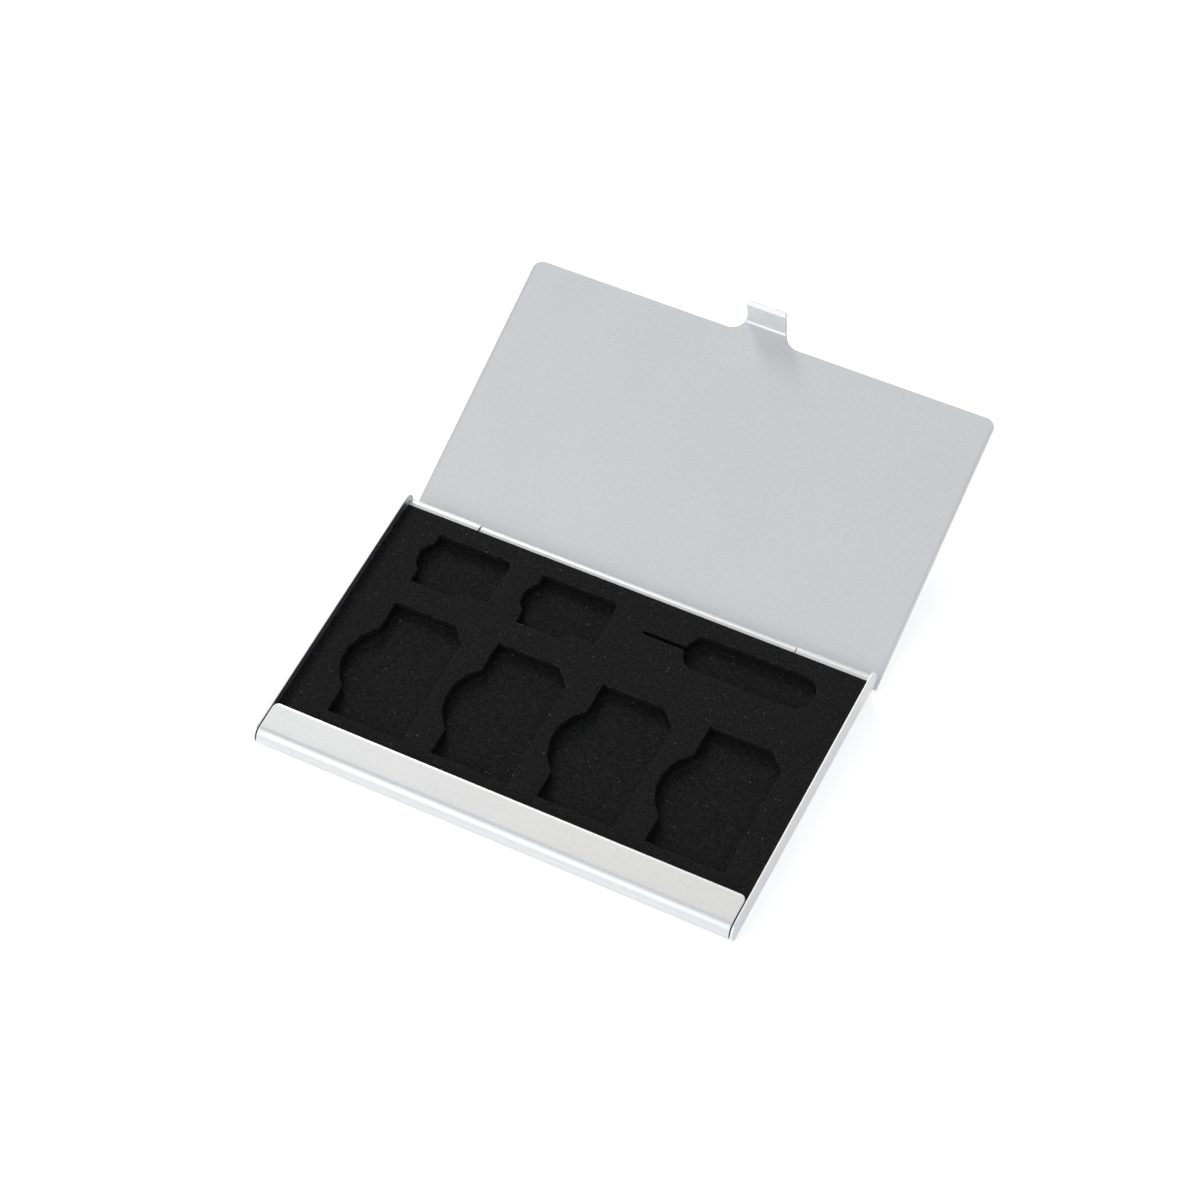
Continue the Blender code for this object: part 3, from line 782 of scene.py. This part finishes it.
def card_outline(pockets, left):
    """Pocket for a full-size card: one cut corner and a finger notch."""
    front = TRAY_LOW.y + pockets.card_front
    back = front + pockets.card_length
    right = left + pockets.card_width
    cut = pockets.card_cut
    corners = [(left, front), (right, front), (right, back - cut), (right - cut, back),
               (left, back)]
    notch = finger_notch(left, back - pockets.notch_place, pockets.notch_chord,
                         pockets.notch_depth, pockets.notch_fillet)
    return np.concatenate([np.array(corners), notch])


def small_outline(pockets, left):
    """Pocket for a small memory card: wider over part of its length, with a finger notch."""
    back = FOAM_HIGH.y - pockets.back_gap
    front = back - pockets.small_length
    right = left + pockets.small_width
    slope = left + pockets.small_step_place
    step, radius = pockets.small_step, pockets.small_corner
    corners = [(left, front), (slope, front), (slope + step, front + step),
               (right, front + step)]
    corner = arc((right - radius, back - radius), radius, 0, 90, 6)
    notch = finger_notch(left, back - pockets.small_place, pockets.small_chord,
                         pockets.small_depth, pockets.small_fillet)
    return np.concatenate([np.array(corners), corner, [(left, back)], notch])


def eject_outline(pockets):
    """Pocket for the handle of an eject pin, and the slit for its shank."""
    left, right = pockets.eject_left, pockets.eject_right
    middle = FOAM_HIGH.y - pockets.back_gap - pockets.eject_width / 2
    corner, fillet = pockets.eject_corner, pockets.eject_fillet
    rise, slit = pockets.eject_width / 2 - corner, pockets.slit_width / 2
    reach = math.sqrt((corner + fillet) ** 2 - (slit + fillet - rise) ** 2)
    swing = math.degrees(math.asin((slit + fillet - rise) / (corner + fillet)))
    upper = np.concatenate([
        arc((left - pockets.slit_length + slit, 0), slit, 180, 90, 5),
        arc((left + corner - reach, slit + fillet), fillet, 270, 360 - swing, 5),
        arc((left + corner, rise), corner, 180 - swing, 90, 14),
        arc((right - corner, rise), corner, 90, 0, 14),
    ])
    lower = upper[:0:-1] * (1, -1)
    return np.concatenate([upper, lower]) + (0, middle)


def divide(outline, spacing):
    """The closed outline anticlockwise, with more points on its long sides."""
    ring = np.vstack([outline, outline[:1]])
    area = np.sum(ring[:-1, 0] * ring[1:, 1] - ring[1:, 0] * ring[:-1, 1])
    ring = ring if area > 0 else ring[::-1]
    sides = np.linalg.norm(np.diff(ring, axis=0), axis=1)
    ring, sides = ring[np.append(sides > WELD, True)], sides[sides > WELD]
    corners = np.concatenate([[0], np.cumsum(sides)])
    extra = np.arange(0, corners[-1], spacing)
    nearest = np.abs(extra[:, None] - corners[None]).min(axis=1)
    places = np.sort(np.concatenate([corners[:-1], extra[nearest > spacing / 3]]))
    return np.stack([np.interp(places, corners, ring[:, axis]) for axis in (0, 1)], axis=-1)


def outward(ring):
    """Mitred outward vectors of an anticlockwise ring: both sides' normals over 1 + their dot."""
    side = np.roll(ring, -1, axis=0) - ring
    side = side / np.linalg.norm(side, axis=1, keepdims=True)
    after = np.stack([side[:, 1], -side[:, 0]], axis=-1)
    before = np.roll(after, 1, axis=0)
    return (after + before) / (1 + np.sum(after * before, axis=1, keepdims=True))


def fill_flat(rings, height):
    """Triangles between the first ring and the others, at one height.

    A triangle stays where a line from its middle towards +X crosses the rings an odd number of
    times, so the rings' insides stay open.
    """
    sizes = [len(ring) for ring in rings]
    starts = np.concatenate([[0], np.cumsum(sizes)[:-1]])
    edges = np.concatenate([
        np.stack([np.arange(size), (np.arange(size) + 1) % size], axis=-1) + start
        for size, start in zip(sizes, starts)
    ])
    rings = np.concatenate(rings)
    flat = [Vector(point) for point in rings.tolist()]
    points, _, faces = delaunay_2d_cdt(flat, edges.tolist(), [], 1, 1e-9)[:3]
    points, faces = np.array(points), np.array(faces)
    x, y = points[faces].mean(axis=1).T[..., None]
    (first_x, first_y), (last_x, last_y) = rings[edges[:, 0]].T, rings[edges[:, 1]].T
    meets = first_x + (y - first_y) * (last_x - first_x) / (last_y - first_y + 1e-15)
    crossed = ((first_y > y) != (last_y > y)) & (meets > x)
    faces = faces[crossed.sum(axis=1) % 2 == 1]
    return np.column_stack([points, np.full(len(points), height)]), faces


def foam_sheet(case):
    """The foam: rims rounded a quarter turn, straight cut walls, and flat faces between them.

    Each wall is the outline moved outwards by r (1 - sin t) and down by r (1 - cos t) as t
    goes a quarter turn, and then straight down. The back is cut away round the hinge barrel.
    """
    rim = case.foam.rim
    low, high = FOAM_LOW.z, FOAM_HIGH.z
    turn = np.linspace(0, QUARTER, 6)
    inset = np.concatenate([rim * (1 - np.sin(turn)), [0, 0, 0, 0]])
    height = np.concatenate([high - rim * (1 - np.cos(turn)),
                             np.linspace(high - rim, low, 5)[1:]])
    pockets = case.pockets
    pitch = pockets.card_width + pockets.notch_depth + pockets.card_gap
    first = pockets.card_shift - ((CARD_POCKETS - 1) * pitch + pockets.card_width) / 2
    outlines = [card_outline(pockets, first + pitch * number) for number in range(CARD_POCKETS)]
    outlines += [small_outline(pockets, pockets.small_pitch * number - pockets.small_left)
                 for number in range(SMALL_POCKETS)]
    outlines.append(eject_outline(pockets))
    border = np.array([(FOAM_LOW.x, FOAM_LOW.y), (FOAM_HIGH.x, FOAM_LOW.y),
                       (FOAM_HIGH.x, FOAM_HIGH.y), (FOAM_LOW.x, FOAM_HIGH.y)])
    work = Patchwork()
    tops, bottoms = [], []
    barrel = (PIN_RADIUS + case.hinge.tray_clearance + case.sheet.thickness
              + case.foam.clearance)
    clear = np.sqrt(np.clip(barrel ** 2 - (height - PIVOT.z) ** 2, 0, None))
    limit = np.where(clear > 0, PIVOT.y - clear, FOAM_HIGH.y)
    for number, outline in enumerate([border] + outlines):
        ring = divide(outline, OUTLINE_STEP)
        away = outward(ring) * (-1 if number == 0 else 1)
        flat = ring[None] + inset[:, None, None] * away[None]
        if number == 0:
            flat[..., 1] = np.minimum(flat[..., 1], limit[:, None])
        tall = np.broadcast_to(height[:, None], flat.shape[:2])
        work.add(np.dstack([flat, tall]), closed=True)
        tops.append(flat[0])
        bottoms.append(flat[-1])
    for rings, level in ((tops, high), (bottoms, low)):
        points, faces = fill_flat(rings, level)
        work.add_faces(points, faces + work.count)
    return work.make("foam_sheet")


def backing_sheet():
    """The thin sheet under the foam: a slab whose edge is a half round all the way about."""
    low, high = BACKING_LOW, BACKING_HIGH
    radius = (high.z - low.z) / 2
    x = stretch(low.x + radius, (high.x - radius, 60))
    y = stretch(low.y + radius, (high.y - radius, 36))
    bottom_side = np.stack([x, np.full_like(x, y[0])], axis=-1)
    right_side = np.stack([np.full_like(y, x[-1]), y], axis=-1)
    ring = np.concatenate([bottom_side[:-1], right_side[:-1],
                           bottom_side[:0:-1] + (0, y[-1] - y[0]),
                           right_side[:0:-1] - (x[-1] - x[0], 0)])
    away = outward(ring)
    turn = np.linspace(-QUARTER, QUARTER, 9)
    flat = ring[None] + radius * np.cos(turn)[:, None, None] * away[None]
    tall = (low.z + high.z) / 2 + radius * np.sin(turn)
    work = Patchwork()
    work.add(np.dstack([flat, np.broadcast_to(tall[:, None], flat.shape[:2])]), closed=True)
    column, row = np.meshgrid(x, y)
    for level in (low.z, high.z):
        work.add(np.stack([column, row, np.full_like(row, level)], axis=-1))
    return work.make("backing_sheet")


# Operators


class CARD_CASE_OT_tray(bpy.types.Operator):
    """Make the tray's folded shell"""
    bl_idname = "card_case.tray"
    bl_label = "Tray"

    def execute(self, context):
        case = context.scene.card_case
        inner_wall = TRAY_HIGH.x - case.sheet.thickness
        finishes = [satin_aluminium("satin_aluminium", case.sheet, inner_wall),
                    cut_aluminium(case.sheet)]
        place_piece(tray_shell(case), "tray_body", ["tray"], finishes)
        return {"FINISHED"}


class CARD_CASE_OT_lid(bpy.types.Operator):
    """Make the lid's folded shell with its latch tab"""
    bl_idname = "card_case.lid"
    bl_label = "Lid"

    def execute(self, context):
        case = context.scene.card_case
        finishes = [bpy.data.materials["satin_aluminium"], bpy.data.materials["cut_aluminium"]]
        place_piece(lid_shell(case), "lid_body", ["lid"], finishes)
        return {"FINISHED"}


class CARD_CASE_OT_foam(bpy.types.Operator):
    """Make the cut foam insert"""
    bl_idname = "card_case.foam"
    bl_label = "Foam insert"

    def execute(self, context):
        case = context.scene.card_case
        finish = black_foam("black_foam", tuple(case.foam.tint), tuple(case.foam.speck_and_rim_highlight_tint),
                            0.07 * MM, FOAM_HIGH.z)
        item = place_piece(foam_sheet(case), "tray_body", ["foam_insert"],
                           [finish])
        return {"FINISHED"}


class CARD_CASE_OT_backing(bpy.types.Operator):
    """Make the sheet that closes the pockets from below"""
    bl_idname = "card_case.backing"
    bl_label = "Backing sheet"

    def execute(self, context):
        case = context.scene.card_case
        finish = black_foam("black_sheet", tuple(case.foam.sheet_tint),
                            tuple(case.foam.speck_and_rim_highlight_tint), 0.05 * MM, BACKING_HIGH.z)
        place_piece(backing_sheet(), "tray_body", ["foam_backing"], [finish])
        return {"FINISHED"}


class CARD_CASE_OT_pin_and_film(bpy.types.Operator):
    """Finish the hinge pin and the adhesive film, which keep the solids' own shapes"""
    bl_idname = "card_case.pin_and_film"
    bl_label = "Pin and film"

    def execute(self, context):
        for name, finish in (("hinge_pin", drawn_steel()), ("adhesive_film", clear_film())):
            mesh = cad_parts[name].data
            mesh.materials.clear()
            mesh.materials.append(finish)
        return {"FINISHED"}


class CARD_CASE_OT_stage(bpy.types.Operator):
    """Make the floor, the soft light and the camera"""
    bl_idname = "card_case.stage"
    bl_label = "Stage"

    def execute(self, context):
        studio = context.scene.card_case.studio
        make_floor(studio)
        make_room(context.scene, studio)
        make_lamp("back_lamp", BACK_LAMP_PLACE, studio.back_size, studio.back_power,
                  studio.back_tint)
        make_lamp("front_lamp", FRONT_LAMP_PLACE, studio.front_size, studio.front_power,
                  studio.front_tint)
        make_camera(context.scene)
        context.scene.view_settings.view_transform = "Standard"
        return {"FINISHED"}


def make_floor(studio):
    """A plane through the front roll and the opened lid's back bend, on which the case leans."""
    work = Patchwork()
    side = np.linspace(-FLOOR_HALF, FLOOR_HALF, FLOOR_POINTS)
    x, y = np.meshgrid(side, side)
    work.add(np.stack([x, y, (FLOOR_LEVEL - FLOOR_LEAN * y) / FLOOR_RISE], axis=-1))
    floor = work.make("floor")
    floor.data.materials.append(floor_paint(tuple(studio.floor_tint), studio.floor_glow))


def make_room(scene, studio):
    """A room white to the camera, and to mirrored rays near the horizon.

    For the rest it is pale in front, with a pale strip behind, and dimmer overhead.
    """
    world = bpy.data.worlds.new("pale_room")
    scene.world = world
    world.use_nodes = True
    tree = world.node_tree
    ground = tree.nodes["Background"]
    place = put(tree, "ShaderNodeTexCoord").outputs["Generated"]
    room = tuple(studio.dim_tint)
    for toward, fade, tint in ((PALE_FRONT, PALE_FRONT_FADE, studio.room_tint),
                               (STRIP, STRIP_FADE, studio.strip_tint)):
        facing = put(tree, "ShaderNodeVectorMath", {0: place, 1: toward},
                     operation="DOT_PRODUCT").outputs["Value"]
        room = blend_colours(tree, smooth_step(tree, facing, *fade), room, tint)
    height = put(tree, "ShaderNodeSeparateXYZ", {"Vector": place}).outputs["Z"]
    near_horizon = smooth_step(tree, height, BACKDROP_END, BACKDROP_FULL)
    backdrop = maths(tree, "MULTIPLY", background_rays(tree), near_horizon)
    camera = put(tree, "ShaderNodeLightPath").outputs["Is Camera Ray"]
    seen = maths(tree, "MAXIMUM", camera, backdrop)
    join(tree, ground, {
        "Color": blend_colours(tree, seen, room, (1, 1, 1)),
        "Strength": between(tree, seen, studio.room_light, 1.0, 0.0, 1.0),
    })


def make_lamp(name, away, size, power, tint):
    """A soft square lamp in that direction, and as far off as the direction is long."""
    data = bpy.data.lights.new(name, "AREA")
    data.shape = "SQUARE"
    data.size = size
    data.energy = power
    data.color = tint
    lamp = bpy.data.objects.new(name, data)
    bpy.context.scene.collection.objects.link(lamp)
    away = Vector(away)
    lamp.visible_camera = False
    lamp.location = away
    lamp.rotation_euler = away.to_track_quat("Z", "Y").to_euler()


def make_camera(scene):
    """The photograph's viewing angle and distance."""
    data = bpy.data.cameras.new("camera")
    data.sensor_width = CAMERA_SENSOR
    data.lens = CAMERA_LENS
    data.clip_start = 0.01
    camera = bpy.data.objects.new("camera", data)
    scene.collection.objects.link(camera)
    turn = Matrix((CAMERA_RIGHT, CAMERA_UP, CAMERA_BACK)).transposed().to_4x4()
    camera.matrix_world = Matrix.Translation(CAMERA_PLACE) @ turn
    scene.camera = camera


class CARD_CASE_PT_panel(bpy.types.Panel):
    """Lists the pieces of the case"""
    bl_label = "Card Case"
    bl_idname = "CARD_CASE_PT_panel"
    bl_space_type = "VIEW_3D"
    bl_region_type = "UI"
    bl_category = "Card Case"

    def draw(self, context):
        for operator in OPERATORS:
            self.layout.operator(operator.bl_idname)
        for name in ("sheet", "tray", "hinge", "lid", "tab", "foam", "pockets", "studio"):
            group = getattr(context.scene.card_case, name)
            box = self.layout.box()
            box.label(text=name.capitalize())
            for key in group.bl_rna.properties.keys():
                if key not in {"rna_type", "name"}:
                    box.prop(group, key)


OPERATORS = (
    CARD_CASE_OT_tray,
    CARD_CASE_OT_lid,
    CARD_CASE_OT_foam,
    CARD_CASE_OT_backing,
    CARD_CASE_OT_pin_and_film,
    CARD_CASE_OT_stage,
)
CLASSES = (
    CardCaseSheet,
    CardCaseTray,
    CardCaseHinge,
    CardCaseLid,
    CardCaseTab,
    CardCaseFoam,
    CardCasePockets,
    CardCaseStudio,
    CardCaseSettings,
    *OPERATORS,
    CARD_CASE_PT_panel,
)


def register():
    for item in CLASSES:
        bpy.utils.register_class(item)
    bpy.types.Scene.card_case = PointerProperty(type=CardCaseSettings)


def unregister():
    del bpy.types.Scene.card_case
    for item in reversed(CLASSES):
        bpy.utils.unregister_class(item)


def main():
    register()
    bpy.ops.card_case.tray()
    bpy.ops.card_case.lid()
    bpy.ops.card_case.foam()
    bpy.ops.card_case.backing()
    bpy.ops.card_case.pin_and_film()
    bpy.ops.card_case.stage()


if __name__ == "__main__":
    main()
